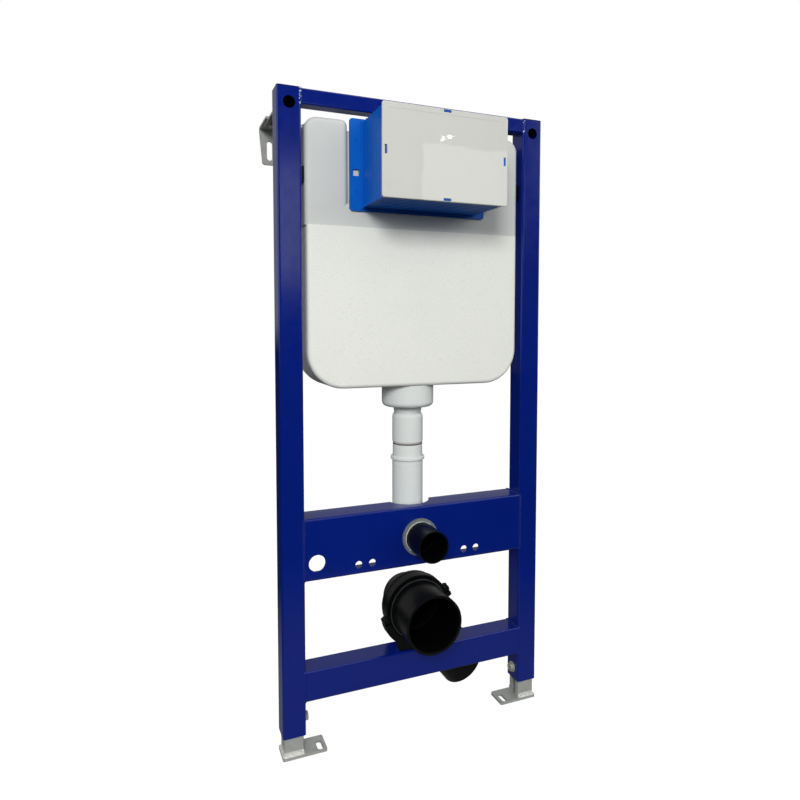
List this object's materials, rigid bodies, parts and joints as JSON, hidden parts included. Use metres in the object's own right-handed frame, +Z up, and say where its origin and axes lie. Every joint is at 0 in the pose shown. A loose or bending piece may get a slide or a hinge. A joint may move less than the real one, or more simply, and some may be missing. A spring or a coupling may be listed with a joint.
{
  "type": "wall hung toilet frame",
  "caption": "Blue steel wall frame on telescopic feet with a slim concealed cistern, access box, flush pipe, waste bend and fixing holes for a wall hung pan.",
  "frame": {"origin": "on the back face of the left wall bracket, the face that lies on the wall, above its slot; the floor is 1.078 m below it and the middle of the frame 0.235 m to the right", "axes": "+X to the right seen from the front, +Y back into the wall, +Z up"},
  "size_m": [0.506, 0.256, 1.12],
  "materials": {
    "blue_enamel": "gloss powder coat",
    "galvanised_steel": "zinc coated",
    "zinc_fasteners": "zinc plated",
    "grey_polyethylene": "blow moulded",
    "foam_beads": "moulded foam",
    "blue_polypropylene": "moulded",
    "white_panel": "glossy",
    "white_pipe": "extruded",
    "grey_ring": "moulded",
    "black_polyethylene": "moulded"
  },
  "bodies": {
    "frame": {"left_post": "blue_enamel", "right_post": "blue_enamel", "top_rail": "blue_enamel", "fixing_rail": "blue_enamel", "bottom_rail": "blue_enamel", "left_wall_bracket": "galvanised_steel", "right_wall_bracket": "galvanised_steel", "left_wall_arm": "galvanised_steel", "right_wall_arm": "galvanised_steel", "left_clamp_bolt": "zinc_fasteners", "right_clamp_bolt": "zinc_fasteners", "left_bracket_bolt": "zinc_fasteners", "right_bracket_bolt": "zinc_fasteners", "upper_clamp_screw": "zinc_fasteners", "lower_clamp_screw": "zinc_fasteners", "cistern_tank": "grey_polyethylene", "insulation_cover": "foam_beads", "access_box": "blue_polypropylene", "cover_panel": "white_panel", "outlet_collar": "white_pipe", "flush_pipe": "white_pipe", "flush_bend": "white_pipe", "flush_ring": "grey_ring", "left_post_plug": "black_polyethylene", "right_post_plug": "black_polyethylene", "left_tank_clip": "black_polyethylene", "right_tank_clip": "black_polyethylene", "flush_stub": "black_polyethylene", "waste_bend": "black_polyethylene", "waste_sleeve": "black_polyethylene", "waste_clamp_base": "black_polyethylene", "waste_clamp_strap": "black_polyethylene"},
    "left_leg": {"left_leg": "galvanised_steel", "left_foot_plate": "galvanised_steel"},
    "right_leg": {"right_leg": "galvanised_steel", "right_foot_plate": "galvanised_steel"}
  },
  "joints": [
    {"name": "left_leg_slide", "type": "slide", "parent": "frame", "child": "left_leg", "axis": [0, 0, -1], "range_m": [-0.028, 0.17]},
    {"name": "right_leg_slide", "type": "slide", "parent": "frame", "child": "right_leg", "axis": [0, 0, -1], "range_m": [-0.028, 0.17]}
  ]
}
